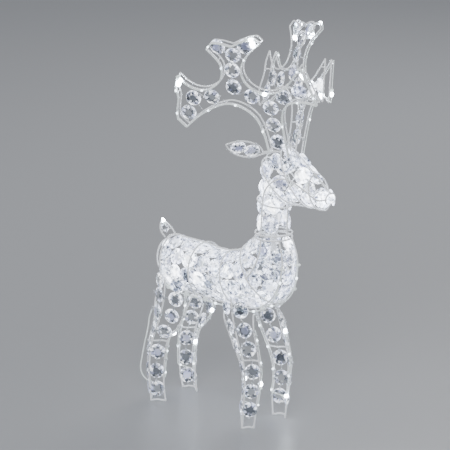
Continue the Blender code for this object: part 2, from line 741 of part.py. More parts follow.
def main():
    for old in list(bpy.data.objects):
        bpy.data.objects.remove(old)
    wire = material("white_wire", (0.9, 0.92, 0.93), 0.35, 0.2)
    crystal = material("clear_acrylic", (0.93, 0.96, 1.0), 0.05, 0, 0.6)
    glow = material("led", (0.85, 0.92, 1.0), 0.3, 0, 0, 4)
    cable = material("clear_cable", (0.6, 0.62, 0.62), 0.3, 0, 0.3)
    plastic = material("clear_plastic", (0.8, 0.82, 0.83), 0.35)
    torso, head = Shell(TORSO), Shell(HEAD)
    torso_frame(torso, wire)
    torso_rows(torso, crystal)
    tail(wire, crystal)
    for side, sign in (("left", 1), ("right", -1)):
        for end, leg in (("front", FRONT_LEG), ("hind", HIND_LEG)):
            leg_frame(f"{end}_leg_{side}", leg, KNEE_Z[end], sign, wire)
            for kind in ("rear", "front"):
                leg_strand(f"{end}_leg_{side}_{kind}_row", leg, kind, sign, crystal, LEG_DISCS[end])
        ear(side, sign, (wire, crystal))
        antler(side, sign, wire, crystal)
    neck_post(wire)
    neck_sleeve(wire)
    head_frame(head, wire)
    head_rows(head, crystal)
    lights(torso, head, glow)
    lead(cable, plastic)


main()
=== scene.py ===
import json
import math
import random

import bpy
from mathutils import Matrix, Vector


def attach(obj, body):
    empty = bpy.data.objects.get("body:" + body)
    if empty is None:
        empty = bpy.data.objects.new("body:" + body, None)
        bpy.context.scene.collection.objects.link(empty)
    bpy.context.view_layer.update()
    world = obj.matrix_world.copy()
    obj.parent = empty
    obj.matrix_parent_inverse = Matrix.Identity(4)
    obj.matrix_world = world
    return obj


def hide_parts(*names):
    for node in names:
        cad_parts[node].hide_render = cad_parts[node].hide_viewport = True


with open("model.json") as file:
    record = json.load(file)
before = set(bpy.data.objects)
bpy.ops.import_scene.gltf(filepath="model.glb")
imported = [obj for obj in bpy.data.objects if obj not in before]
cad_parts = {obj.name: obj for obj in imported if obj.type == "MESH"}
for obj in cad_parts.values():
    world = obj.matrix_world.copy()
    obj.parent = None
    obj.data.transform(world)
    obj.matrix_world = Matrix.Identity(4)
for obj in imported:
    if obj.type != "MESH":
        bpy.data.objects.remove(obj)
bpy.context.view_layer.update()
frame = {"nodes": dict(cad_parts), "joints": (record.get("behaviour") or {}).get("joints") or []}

# The reindeer's lengths are in millimetres, and are scaled to metres when a mesh is made. The
# camera, the lights and the floor are in metres.
MM = 0.001
NECK_X = frame["joints"][0]["pos_m"][0] / MM

# Wires
WIRE = 1.75
THIN = 0.8
THIN_SIDES = 8
SPACER = 1.3
WELD = 2.7
WIRE_SIDES = 10
HOOF_BAR = 4.0
HOOF_RISE = 2.5
TAIL_CROSS_WIRE = 1.1

# Crystals
DISC = 18.0
DISC_HALF = 4.8
DISC_OUT = -9.6
PITCH = 36.0
FACETS = 10
LEG_DISC = 17.0
ANTLER_DISC = 17.0
EAR_DISC = 16.5
HAUNCH_STEP = 34.0
# Gaps up to these have no link, and how far a side link may reach in an antler
DISC_GAP = 3.5
SIDE_GAP = 2.0
LINK_REACH = 44.0
# Finishes in the trim list
CAP, LINK = range(2)
# How often each kind of facet is clear, bright, violet, dark or hot: bright, violet and hot paint the LEDs'
# glow and glints, and dark paints a dark reflection
MOODS = {
    "dim": {
        "table": (5, 0, 1, 4, 0), "star": (4, 1, 1, 4, 0), "kite": (4, 2, 1, 3, 0), "bevel": (4, 4, 1, 2, 0),
        "rim": (2, 5, 1, 2, 0),
    },
    "lit": {
        "table": (3, 4, 3, 2, 0), "star": (2, 4, 3, 3, 0), "kite": (2, 4, 2, 3, 0), "bevel": (2, 4, 2, 3, 0),
        "rim": (2, 5, 2, 2, 0),
    },
    "hot": {
        "table": (1, 3, 1, 0, 4), "star": (1, 4, 1, 1, 3), "kite": (1, 3, 2, 1, 2), "bevel": (1, 4, 2, 1, 1),
        "rim": (1, 4, 1, 1, 1),
    },
}

# Ears: the outline as shares of the length and of the half width, and where the left stalk ends
EAR_HALF = 22.0
EAR_SHAPE = ((0, 0.15), (0.16, 0.75), (0.4, 1), (0.65, 0.92), (0.86, 0.5), (1, 0))
EAR_ROOT = (122.8, 19.5, 626.1)

# Lights
CABLE = 1.1
RAIL_CABLE = 1.5
RAIL_DROP = 8.0
RAIL_TIE_GAP = 52.0
LED_HALF = 3.0
LEG_LED_GAP = 46.0
TORSO_LED_GAP = 72.0
HEAD_LED_GAP = 66.0
LIGHTS_SCALE = 0.66
HEAD_LIGHTS_SCALE = 0.42
CLEAR = 0.4
# Finishes in a light string's list, after the cable's own, and the sizes of the LEDs
HOT_LED, SOFT_LED = 1, 2
SOFT_SIZE = 0.8
HOT_SIZE = 1.5
CLUSTER_SIZE = 2.1

# Neck joint
COLLAR_Z = 427.0
BASE_RING_Z = 437.0
NECK_RADIUS = 42.0

# Legs
LEG_INNER_Y = 49.0
LEG_RIDGE_Y = 68.0
HOOK_START_Y = 31.0
HOOK_BEND_Y = 38.0
KNEE_STEP = 5.0
LEG_LIGHTS_IN = 5.2
LEG_LIGHTS_TOP = 222.0
LEG_LIGHTS_FOOT = 54.0
LEG_WIRES = (("rear", LEG_INNER_Y), ("ridge", LEG_RIDGE_Y), ("front", LEG_INNER_Y))

# Antlers
ANTLER_LAYER = 7.5
ANTLER_SPLAY = 0.434
ANTLER_LEAN = 0.26

chance = random.Random(7)


# Camera, lights and floor


def camera():
    """The view from the front right, a little above, through a long lens."""
    azimuth, elevation, distance = math.radians(44.5), math.radians(15.9), 10.0
    target = Vector((-0.060, 0, 0.423))
    back = Vector((
        math.sin(azimuth) * math.cos(elevation),
        -math.cos(azimuth) * math.cos(elevation),
        math.sin(elevation),
    ))
    data = bpy.data.cameras.new("camera")
    data.lens = 368
    data.clip_end = 100
    made = bpy.data.objects.new("camera", data)
    made.location = target + back * distance
    made.rotation_euler = back.to_track_quat("Z", "Y").to_euler()
    bpy.context.scene.collection.objects.link(made)
    bpy.context.scene.camera = made


def area_light(name, place, aim, size, power):
    data = bpy.data.lights.new(name, "AREA")
    data.size = size
    data.energy = power
    made = bpy.data.objects.new(name, data)
    made.location = place
    made.rotation_euler = (Vector(place) - Vector(aim)).to_track_quat("Z", "Y").to_euler()
    bpy.context.scene.collection.objects.link(made)


def studio():
    """A pale floor and plain soft light."""
    middle = (0, 0, 0.45)
    area_light("key", (2.2, -2.6, 2.6), middle, 2.2, 70)
    area_light("fill", (-2.8, -1.6, 1.8), middle, 2.5, 35)
    area_light("rim", (-1.2, 2.8, 2.4), middle, 2.0, 45)
    world = bpy.data.worlds.new("studio")
    world.use_nodes = True
    world.node_tree.nodes["Background"].inputs["Color"].default_value = (0.62, 0.64, 0.68, 1)
    world.node_tree.nodes["Background"].inputs["Strength"].default_value = 0.55
    bpy.context.scene.world = world
    mesh = bpy.data.meshes.new("floor")
    mesh.from_pydata([(-30, -30, 0), (30, -30, 0), (30, 30, 0), (-30, 30, 0)], [], [(0, 1, 2, 3)])
    floor = bpy.data.objects.new("floor", mesh)
    bpy.context.scene.collection.objects.link(floor)
    finish = plain_material("floor", (0.42, 0.43, 0.45), 0.35)
    mesh.materials.append(finish)


# Materials


def plain_material(name, colour, roughness):
    made = bpy.data.materials.new(name)
    made.use_nodes = True
    shader = made.node_tree.nodes["Principled BSDF"]
    shader.inputs["Base Color"].default_value = (*colour, 1)
    shader.inputs["Roughness"].default_value = roughness
    return made


class Finish:
    """A Principled material whose colour, roughness and bump come from noise on the piece."""

    def __init__(self, name, roughness=0.4, metallic=0.0, transmission=0.0, ior=1.45):
        self.material = bpy.data.materials.new(name)
        self.material.use_nodes = True
        self.nodes = self.material.node_tree.nodes
        self.links = self.material.node_tree.links
        self.shader = self.nodes["Principled BSDF"]
        self.shader.inputs["Roughness"].default_value = roughness
        self.shader.inputs["Metallic"].default_value = metallic
        self.shader.inputs["Transmission Weight"].default_value = transmission
        self.shader.inputs["IOR"].default_value = ior
        self.place = self.nodes.new("ShaderNodeTexCoord").outputs["Object"]

    def noise(self, scale, detail=3.0):
        made = self.nodes.new("ShaderNodeTexNoise")
        made.inputs["Scale"].default_value = scale
        made.inputs["Detail"].default_value = detail
        self.links.new(self.place, made.inputs["Vector"])
        return made.outputs["Fac"]

    def ramp(self, source, stops, socket):
        made = self.nodes.new("ShaderNodeValToRGB")
        elements = made.color_ramp.elements
        while len(elements) < len(stops):
            elements.new(0.5)
        for element, (at, colour) in zip(elements, stops):
            element.position = at
            element.color = (*colour, 1)
        self.links.new(source, made.inputs["Fac"])
        self.links.new(made.outputs["Color"], self.shader.inputs[socket])

    def spread(self, source, low, high, socket):
        made = self.nodes.new("ShaderNodeMapRange")
        made.inputs["To Min"].default_value = low
        made.inputs["To Max"].default_value = high
        self.links.new(source, made.inputs["Value"])
        self.links.new(made.outputs["Result"], self.shader.inputs[socket])

    def lit(self, colour, strength):
        """A painted glow: emission that stands in for the light of the LEDs that a surface passes on."""
        self.shader.inputs["Emission Color"].default_value = (*colour, 1)
        self.shader.inputs["Emission Strength"].default_value = strength

    def bump(self, source, strength, distance):
        made = self.nodes.new("ShaderNodeBump")
        made.inputs["Strength"].default_value = strength
        made.inputs["Distance"].default_value = distance
        self.links.new(source, made.inputs["Height"])
        self.links.new(made.outputs["Normal"], self.shader.inputs["Normal"])


def wire_finish():
    """White powder coat over steel, a little uneven, with grey where it is rubbed thin."""
    made = Finish("white_wire", 0.32)
    made.shader.inputs["Coat Weight"].default_value = 0.25
    stops = ((0.0, (0.62, 0.64, 0.66)), (0.34, (0.84, 0.86, 0.88)), (0.7, (0.93, 0.94, 0.95)))
    made.ramp(made.noise(90), stops, "Base Color")
    made.spread(made.noise(260), 0.22, 0.45, "Roughness")
    made.bump(made.noise(700), 0.25, 0.0002)
    # Painted glow: the white wire is given emission for the LEDs' light falling on it.
    made.lit((0.9, 0.95, 1.0), 0.32)
    return made.material


def crystal_finish(name, tints, glow=0, glows=None):
    """Clear acrylic; glow and its two colours are a painted glow for the light of the LEDs caught in a
    facet, and dark tints paint a dark reflection on a facet.
    """
    made = Finish(name, 0.03, transmission=1.0, ior=1.49)
    made.ramp(made.noise(40), ((0.3, tints[0]), (0.7, tints[1])), "Base Color")
    if glow:
        made.shader.inputs["Emission Strength"].default_value = glow
        made.ramp(made.noise(60), ((0.36, glows[0]), (0.6, glows[1])), "Emission Color")
    made.spread(made.noise(140), 0.01, 0.06, "Roughness")
    return made.material


def crystal_finishes():
    """Five looks of one clear acrylic, for facets that catch more or less light: four carry painted light, a
    glow of the LEDs or a dark reflection.
    """
    water, ice = (0.82, 0.87, 0.94), (0.98, 0.99, 1.0)
    return [
        crystal_finish("acrylic_clear", (water, ice)),
        # Painted glow: emission on clear acrylic for the LEDs' light caught in a facet, here and in the
        # violet and hot looks.
        crystal_finish("acrylic_bright", (water, ice), 1.3, ((0.66, 0.74, 0.98), (0.97, 0.99, 1.0))),
        crystal_finish("acrylic_violet_glow", (water, ice), 0.5, ((0.4, 0.44, 0.88), (0.66, 0.7, 1.0))),
        # Painted dark reflection: clear acrylic tinted dark where a facet would mirror shade.
        crystal_finish("acrylic_painted_dark_reflection", ((0.12, 0.13, 0.16), (0.36, 0.4, 0.46))),
        crystal_finish("acrylic_hot", (water, ice), 3.2, ((0.86, 0.92, 1.0), (1.0, 1.0, 1.0))),
    ]


def cap_finish():
    """Clear moulded caps and clips."""
    made = Finish("clear_caps", 0.25, transmission=0.45, ior=1.46)
    made.ramp(made.noise(120), ((0.3, (0.82, 0.85, 0.88)), (0.7, (0.95, 0.97, 1.0))), "Base Color")
    made.spread(made.noise(300), 0.15, 0.4, "Roughness")
    return made.material


def link_finish():
    """Thin bright wire between the discs."""
    made = Finish("link_wire", 0.22, metallic=0.9)
    made.ramp(made.noise(150), ((0.3, (0.66, 0.68, 0.7)), (0.7, (0.86, 0.88, 0.9))), "Base Color")
    made.spread(made.noise(400), 0.14, 0.34, "Roughness")
    return made.material


def cable_finish():
    """Clear cable, slightly milky, with the copper inside showing faintly."""
    made = Finish("clear_cable", 0.2, transmission=0.25, ior=1.48)
    made.ramp(made.noise(220), ((0.35, (0.74, 0.78, 0.74)), (0.65, (0.9, 0.93, 0.9))), "Base Color")
    made.spread(made.noise(500), 0.12, 0.3, "Roughness")
    made.bump(made.noise(300), 0.15, 0.0002)
    # Painted glow: the clear cable, and the lead that shares this material, is given emission for the LEDs'
    # light it carries and catches.
    made.lit((0.84, 0.93, 1.0), 0.35)
    return made.material


def led_finish(name, strength):
    """A lit cool white LED lens, its glow colour varying with noise."""
    made = Finish(name, 0.15, transmission=0.2, ior=1.5)
    made.shader.inputs["Emission Strength"].default_value = strength
    made.ramp(made.noise(160), ((0.3, (0.62, 0.78, 1.0)), (0.6, (0.9, 0.96, 1.0))), "Emission Color")
    made.ramp(made.noise(90), ((0.3, (0.85, 0.9, 1.0)), (0.7, (1.0, 1.0, 1.0))), "Base Color")
    return made.material


# Curves


def catmull(points, t):
    """The point at t, from 0 to len(points) - 1, on a smooth curve through the points."""
    last = len(points) - 1
    i = min(max(int(math.floor(t)), 0), last - 1)
    f = t - i
    a, b, c, d = (Vector(points[min(max(k, 0), last)]) for k in (i - 1, i, i + 1, i + 2))
    return 0.5 * (2 * b + (c - a) * f + (2 * a - 5 * b + 4 * c - d) * f**2 + (3 * b - a - 3 * c + d) * f**3)


def smooth(points, per_span):
    count = (len(points) - 1) * per_span
    return [catmull(points, i / per_span) for i in range(count + 1)]


def bent(points, corner=3.0, rounds=3, closed=False):
    """A wire's path: sharp corners keep a small bend radius, and the rest runs smooth."""
    points = [Vector(p) for p in points]
    kept = []
    n = len(points)
    for i, here in enumerate(points):
        if not closed and i in (0, n - 1):
            kept.append(here)
            continue
        before, after = points[(i - 1) % n], points[(i + 1) % n]
        came, goes = (here - before).normalized(), (after - here).normalized()
        if came.angle(goes) > math.radians(38):
            kept += [here - came * corner * 2, here - came * corner * 0.5]
            kept += [here + goes * corner * 0.5, here + goes * corner * 2]
        else:
            kept.append(here)
    for _ in range(rounds):
        cut = []
        pairs = list(zip(kept, kept[1:] + kept[:1] if closed else kept[1:]))
        for a, b in pairs:
            cut += [a.lerp(b, 0.25), a.lerp(b, 0.75)]
        if not closed:
            cut = [kept[0]] + cut + [kept[-1]]
        kept = cut
    return kept


def lengths_of(path):
    found = [0.0]
    for a, b in zip(path, path[1:]):
        found.append(found[-1] + (b - a).length)
    return found


def place_along(path, lengths, target):
    """The point and direction that far along a path."""
    i = next((i for i in range(1, len(path) - 1) if lengths[i] >= target), len(path) - 1)
    share = (target - lengths[i - 1]) / max(lengths[i] - lengths[i - 1], 1e-9)
    return path[i - 1].lerp(path[i], share), (path[i] - path[i - 1]).normalized()


# Meshes


class Parts:
    """Gathers closed pieces into one mesh, with a material for each."""

    def __init__(self):
        self.points, self.faces, self.marks = [], [], []
        self.start = 0

    def add(self, points, faces, finish=0):
        """A smooth piece of one finish."""
        start = len(self.points)
        self.points += [tuple(p * MM) for p in points]
        self.faces += [tuple(start + k for k in face) for face in faces]
        self.marks += [(finish, True)] * len(faces)

    def add_mixed(self, points, faces, finishes):
        """Flat faces with a finish for each; faces without points belong to the piece added last."""
        if points:
            self.start = len(self.points)
            self.points += [tuple(p * MM) for p in points]
        self.faces += [tuple(self.start + k for k in face) for face in faces]
        self.marks += [(finish, False) for finish in finishes]

    def make(self, name, body, finishes, replaced=(), slot=None):
        mesh = bpy.data.meshes.new(name)
        mesh.from_pydata(self.points, [], self.faces)
        mesh.polygons.foreach_set("material_index", [mark[0] for mark in self.marks])
        mesh.polygons.foreach_set("use_smooth", [mark[1] for mark in self.marks])
        for finish in finishes:
            mesh.materials.append(finish)
        mesh.update()
        made = bpy.data.objects.new(name, mesh)
        bpy.context.scene.collection.objects.link(made)
        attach(made, body)
        if replaced:
            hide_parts(*replaced)


def square_to(along, hint):
    side = (hint - along * hint.dot(along)).normalized()
    return side, along.cross(side)


def tangents(path, closed=False):
    n = len(path)
    found = []
    for i in range(n):
        before = path[(i - 1) % n] if closed or i > 0 else path[i]
        after = path[(i + 1) % n] if closed or i < n - 1 else path[i]
        found.append((after - before).normalized())
    return found


def add_tube(parts, path, radius, sides, closed, finish):
    """A round tube along a path; radius is one number or one for each point."""
    radii = radius if isinstance(radius, list) else [radius] * len(path)
    path = [Vector(p) for p in path]
    along = tangents(path, closed)
    hint = Vector((0, 0, 1)) if abs(along[0].z) < 0.9 else Vector((1, 0, 0))
    points, faces = [], []
    for point, direction, r in zip(path, along, radii):
        side, other = square_to(direction, hint)
        hint = side
        for k in range(sides):
            a = 2 * math.pi * k / sides
            points.append(point + (side * math.cos(a) + other * math.sin(a)) * r)
    rows = len(path)
    for i in range(rows if closed else rows - 1):
        j = (i + 1) % rows
        shift = 0
        if closed and j == 0:
            first = points[0]
            gaps = [(points[i * sides + k] - first).length for k in range(sides)]
            shift = gaps.index(min(gaps))
        for k in range(sides):
            a, b = i * sides + (k + shift) % sides, i * sides + (k + 1 + shift) % sides
            faces.append((a, b, j * sides + (k + 1) % sides, j * sides + k))
    if not closed:
        faces.append(tuple(range(sides))[::-1])
        faces.append(tuple((rows - 1) * sides + k for k in range(sides)))
    parts.add(points, faces, finish)


def add_wire(parts, path, radius=WIRE, closed=False, finish=0, sides=WIRE_SIDES):
    """A wire with rounded ends."""
    path = [Vector(p) for p in path]
    if closed:
        add_tube(parts, path, radius, sides, True, finish)
        return
    first, last = (path[0] - path[1]).normalized(), (path[-1] - path[-2]).normalized()
    ends = ((0.55, 0.84), (0.9, 0.44), (1.0, 0.12))
    head = [path[0] + first * (radius * far) for far, _ in ends[::-1]]
    tail = [path[-1] + last * (radius * far) for far, _ in ends]
    taper = [radius * wide for _, wide in ends]
    radii = taper[::-1] + [radius] * len(path) + taper
    add_tube(parts, head + path + tail, radii, sides, False, finish)


def add_turned(parts, origin, axis, profile, sides=12, finish=0):
    """A closed shape turned round an axis from (distance along it, radius) pairs."""
    axis = axis.normalized()
    path = [origin + axis * at for at, _ in profile]
    side, other = square_to(axis, Vector((0, 0, 1)) if abs(axis.z) < 0.9 else Vector((1, 0, 0)))
    points, faces = [], []
    for centre, (_, r) in zip(path, profile):
        for k in range(sides):
            a = 2 * math.pi * k / sides
            points.append(centre + (side * math.cos(a) + other * math.sin(a)) * r)
    for i in range(len(profile) - 1):
        for k in range(sides):
            j = (k + 1) % sides
            faces.append((i * sides + k, i * sides + j, (i + 1) * sides + j, (i + 1) * sides + k))
    faces.append(tuple(range(sides))[::-1])
    faces.append(tuple((len(profile) - 1) * sides + k for k in range(sides)))
    parts.add(points, faces, finish)


def add_weld(parts, point):
    """A small bead of weld where wires cross."""
    profile = [(-0.95, 0.3), (-0.6, 0.8), (0, 1), (0.6, 0.8), (0.95, 0.3)]
    add_turned(parts, Vector(point), Vector((0, 0, 1)), [(a * WELD, r * WELD) for a, r in profile], 10)


def add_disc(parts, centre, along, across, radius, mood):
    """A round disc cut alike on both sides: a flat table, two rings of facets and a thin faceted rim."""
    across = (across - along * across.dot(along)).normalized()
    normal = along.cross(across)
    tilt = 0.07 if mood == "dim" else 0.24
    sway = across * chance.uniform(-tilt, tilt) + along * chance.uniform(-tilt, tilt) / 2
    normal = (normal + sway).normalized()
    across = (across - normal * across.dot(normal)).normalized()
    along = normal.cross(across)
    turn = chance.uniform(0, math.pi / FACETS)

    def ring(share, height, count, offset):
        found = []
        for k in range(count):
            a = turn + 2 * math.pi * (k + offset) / count
            out = across * math.cos(a) + along * math.sin(a)
            found.append(centre + out * (radius * share) + normal * (DISC_HALF * height))
        return found

    n = FACETS
    points = []
    for sign in (1, -1):
        points += ring(0.5, sign, n, 0) + ring(0.8, sign * 0.7, n, 0.5) + ring(1, sign * 0.22, 2 * n, 0)
    block = 4 * n
    faces = {"table": [], "star": [], "kite": [], "bevel": [], "rim": []}
    for base, flip in ((0, 1), (block, -1)):
        table, mid, rim = base, base + n, base + 2 * n
        faces["table"].append(tuple(table + k for k in range(n))[::flip])
        for k in range(n):
            j, before = (k + 1) % n, (k - 1) % n
            faces["star"].append((table + k, mid + k, table + j)[::flip])
            faces["kite"].append((table + k, mid + before, rim + 2 * k, mid + k)[::flip])
            faces["bevel"].append((mid + k, rim + 2 * k, rim + 2 * k + 1)[::flip])
            faces["bevel"].append((mid + k, rim + 2 * k + 1, rim + (2 * k + 2) % (2 * n))[::flip])
    for k in range(2 * n):
        j = (k + 1) % (2 * n)
        faces["rim"].append((2 * n + k, block + 2 * n + k, block + 2 * n + j, 2 * n + j))
    for kind, found in faces.items():
        finishes = chance.choices(range(5), MOODS[mood][kind], k=len(found))
        parts.add_mixed(points, found, finishes)
        points = []


def add_link(parts, first, last):
    """A thin bare wire between two discs of a string, or from a disc to the frame."""
    add_wire(parts, [first, (first + last) / 2, last], THIN, finish=LINK, sides=THIN_SIDES)


def add_cap(parts, point, direction):
    """The moulded cap that grips a disc's edge and the wire that runs into it."""
    profile = [(-3.4, 0.7), (-3.2, 1.5), (-1.2, 2.1), (1.2, 2.1), (3.0, 1.5), (3.3, 0.7)]
    add_turned(parts, point, direction, profile, 10)


def add_led(parts, point, direction, lens, size=1.0):
    """An LED in its clear holder, in line with the cable."""
    shell = [(-6.2, 1.1), (-5.6, 1.9), (-3.6, 2.3), (-1.2, 2.4), (-0.8, 2.0)]
    add_turned(parts, point, direction, [(a * size, r * size) for a, r in shell])
    dome = [(-0.9, 1.9), (0.2, 2.6), (2.6, 2.8), (4.4, 2.2), (5.5, 1.2), (5.9, 0.3)]
    add_turned(parts, point, direction, [(a * size, r * size) for a, r in dome], 12, lens)


def add_tie(parts, point, direction, radius):
    """A clear band round a wire and the cable beside it."""
    profile = [(-1.4, radius), (-1.1, radius + 0.5), (1.1, radius + 0.5), (1.4, radius)]
    add_turned(parts, point, direction, profile)


def add_clip(parts, point, direction):
    """The moulded clip that holds a disc's link on a frame wire."""
    profile = [(-3.6, 1.9), (-3.2, 2.7), (-1.2, 3.1), (1.2, 3.1), (3.2, 2.7), (3.6, 1.9)]
    add_turned(parts, point, direction, profile, 10)


# The reindeer's envelope


class Shell:
    """A closed envelope that is swept along stations and bends in the plane Y = 0."""

    def __init__(self, stations):
        self.rows = [(*upper, *lower, half) for upper, lower, half in stations]
        self.columns = [[(row[k], 0, 0) for row in self.rows] for k in range(5)]

    def at(self, u, angle, out=0.0, scale=1.0):
        """The point at station u and that angle in degrees: 90 is the upper side, 0 the left."""
        values = [catmull(column, u)[0] for column in self.columns]
        upper, lower = Vector((values[0], 0, values[1])), Vector((values[2], 0, values[3]))
        middle, reach = (upper + lower) / 2, (upper - lower).length / 2
        a = math.radians(angle)
        up = (upper - lower).normalized() * (reach * scale + out) * math.sin(a)
        return middle + up + Vector((0, 1, 0)) * (values[4] * scale + out) * math.cos(a)

    def rib(self, start, end, angle, steps=48):
        return [self.at(start + (end - start) * i / steps, angle, -WIRE) for i in range(steps + 1)]

    def hoop(self, u, first=0, last=360, steps=48):
        closed = last - first == 360
        count = steps if closed else steps + 1
        return [self.at(u, first + (last - first) * i / steps, -WIRE) for i in range(count)]


# Envelope stations: (upper x, z), (lower x, z), half width
TORSO = Shell([
    ((-241, 357), (-240, 280), 31),
    ((-217, 372), (-207, 253), 51),
    ((-130, 374), (-125, 250), 57),
    ((-50, 371), (-20, 250), 57),
    ((-4, 385), (70, 258), 58),
    ((17, 406), (125, 300), 57),
    ((35, 420), (144, 372), 50),
    ((45, COLLAR_Z), (129, COLLAR_Z), NECK_RADIUS),
])
HEAD = Shell([
    ((45, BASE_RING_Z), (129, BASE_RING_Z), NECK_RADIUS),
    ((49, 485), (129, 482), 41),
    ((55, 545), (134, 512), 41),
    ((63, 600), (160, 510), 41),
    ((93, 633), (186, 511), 39),
    ((138, 632), (207, 512), 37),
    ((189, 603), (224, 513), 33),
    ((233, 571), (241, 514), 28),
    ((254, 557), (252, 529), 16),
])
RAIL_ANGLE = -60
# Rows of discs on the torso's left side, as (station, angle) knots
TORSO_ROWS = (
    ((1.0, 68), (1.8, 70), (5.6, 70)),
    ((0.75, 30), (5, 30), (6.7, 58)),
    ((0.75, -10), (5, -10), (6.7, -1)),
    ((0.75, -50), (4.4, -50), (5, -47), (5.8, -47), (6.55, -57)),
)
# Rows of discs on the head's left side: the upper, the lower and the disc in the muzzle
HEAD_ROWS = (
    ((0.12, 30), (3, 34), (6.2, 40)),
    ((0.12, -30), (3, -34), (6.4, -42)),
    ((7.1, 2), (7.6, 0)),
)
NOSE_DISC = (243, 0, 543)
NOSE_DISC_RADIUS = 14.0
RUMP_DISCS = ((-240.5, 0, 335.5), (-240.5, 0, 300.5))
# Left half of the tail's outline, from its root to its tip
TAIL = [(-230, 16, 366), (-240, 18, 376), (-249, 12, 387), (-254, 0, 400)]
TAIL_DISC = (-245.2, 0, 380.8)
TAIL_DISC_RADIUS = 9.5

# Leg wires seen from the side, (x, z) from the top down
FRONT_LEG = {
    "rear": [
        (-24, 256), (-16, 236), (-9, 220), (6, 192), (32, 148), (44, 113), (43, 80), (36, 45), (39, 2),
    ],
    "ridge": [(25, 288), (28, 251), (48, 187), (63, 155), (68, 122), (65, 70), (59, 2)],
    "front": [(63, 256), (74, 225), (83, 192), (91, 159), (96, 131), (89, 83), (81, 35), (76, 2)],
}
HIND_LEG = {
    "rear": [
        (-228, 256), (-229, 225), (-228, 190), (-239, 157), (-248, 130), (-251, 85), (-250, 40), (-240, 2),
    ],
    "ridge": [(-177, 288), (-181, 240), (-197, 190), (-215, 150), (-225, 120), (-228, 70), (-223, 2)],
    "front": [
        (-125, 256), (-137, 214), (-157, 177), (-187, 150), (-196, 115), (-201, 72), (-202, 35), (-196, 2),
    ],
}
KNEE_Z = {"front": 157, "hind": 141}
LEG_DISCS = {"front": (263, 221, 181, 133, 88, 45), "hind": (247, 206, 166, 115, 70, 29)}

# Outline of an antler in its own plane, (x, z), from the back of the stem round to its front
ANTLER = [
    (108, 626), (106, 664), (101, 693), (91, 713), (70, 729), (45, 736), (19, 728), (-18, 706), (-46, 681),
    (-57, 670), (-73, 688), (-70, 712), (-61, 740), (-66, 760), (-56, 788), (-40, 769), (-19, 759), (4, 762),
    (22, 773), (34, 786), (41, 806), (42, 824), (29, 844), (17, 857), (31, 872), (50, 872), (70, 867),
    (107, 887), (124, 890), (133, 880), (117, 866), (101, 851), (87, 832), (80, 813), (82, 792), (93, 776),
    (110, 766), (130, 765), (152, 771), (167, 782), (182, 799), (206, 833), (216, 795), (228, 748),
    (203, 754), (174, 750), (157, 736), (148, 712), (146, 675), (147, 622),
]
# Where short wires join the two outlines
ANTLER_SPACERS = (1, 5, 8, 12, 17, 21, 26, 30, 36, 40, 44, 48)
# Crystal strands in the antler's plane
ANTLER_STRANDS = {
    "stem": [(126, 650), (124, 689), (125, 728)],
    "crown": [(90, 751), (55, 769), (59, 808), (67, 843), (95, 865)],
    "back": [(5, 742), (-35, 735), (-51, 700)],
    "front": [(157, 756), (191, 773)],
}
# The LEDs' places on an antler's outline
ANTLER_BULBS = [
    (104, 676), (58, 732), (-2, 716), (-66, 700), (-64, 753), (-52, 782), (-10, 760), (42, 815), (22, 862),
    (113, 888), (94, 842), (120, 765), (199, 823), (223, 768), (190, 752), (147, 695),
]
# The disc at the crown's back corner, as its centre and a point on its inner side
CROWN_TIP = ((38, 860), (56, 846))
# The LEDs that shine brightest, by their numbers along each string
HOT_LEG_BULBS = {"front_right": (5, 2), "front_left": (7, 4), "hind_left": (7, 5), "hind_right": (6, 1)}
HOT_HEAD_BULBS = (9, 8)
HOT_ANTLER_BULBS = {"left": (8, 9, 11, 13), "right": (5, 9, 11)}
# Where the brightest ones sit in each antler's plane
ANTLER_GLOWS = {"left": [(190, 758), (86, 772), (98, 862), (24, 840)], "right": [(116, 880), (-57, 774)]}

# The lead's route from its strain relief down to the inlet, and its radius
LEAD_ROUTE = [
    (-231, -56, 207), (-236, -56, 196), (-240, -56, 184), (-242, -56, 170),
    (-247, -56, 150), (-254, -56, 126), (-261, -56, 98), (-267, -56, 72), (-268, -54, 57),
    (-264, -50, 44), (-257, -45, 36), (-248, -42, 34), (-243, -41, 30), (-243, -41, 25),
]
LEAD = 1.5


def shell_row(shell, *knots):
    """Places for discs, evenly along a shell, through knots of (station, angle)."""
    steps = 200
    stations, angles = [], []
    for i in range(steps + 1):
        u = knots[0][0] + (knots[-1][0] - knots[0][0]) * i / steps
        near, far = next((a, b) for a, b in zip(knots, knots[1:]) if u <= b[0] + 1e-6)
        stations.append(u)
        angles.append(near[1] + (far[1] - near[1]) * (u - near[0]) / (far[0] - near[0]))
    line = [shell.at(u, a, DISC_OUT) for u, a in zip(stations, angles)]
    lengths = lengths_of(line)
    count = max(1, int(lengths[-1] / PITCH))
    discs = []
    for k in range(count):
        target = lengths[-1] * (k + 0.5) / count
        i = next(i for i in range(1, steps) if lengths[i] >= target)
        beside = [shell.at(stations[i], angles[i] + step, DISC_OUT) for step in (-2, 2)]
        across = (beside[1] - beside[0]).normalized()
        discs.append((line[i], (line[i + 1] - line[i - 1]).normalized(), across))
    return discs


def antler_point(x, z, side, layer=0.0):
    """A point of the antler's slanting plane, moved square to it by layer."""
    y = 26 + ANTLER_SPLAY * (132 - x) + ANTLER_LEAN * (z - 647)
    square = Vector((ANTLER_SPLAY, 1, -ANTLER_LEAN)).normalized()
    point = Vector((x, y, z)) + square * layer
    return Vector((point.x, side * point.y, point.z))


def at_height(line, height):
    """Where a leg wire is, along X, at a height; above its top it counts as upright."""
    for (x, z), (next_x, next_z) in zip(line, line[1:]):
        if next_z <= height:
            return x + (next_x - x) * max(0, z - height) / (z - next_z)
    return line[-1][0]


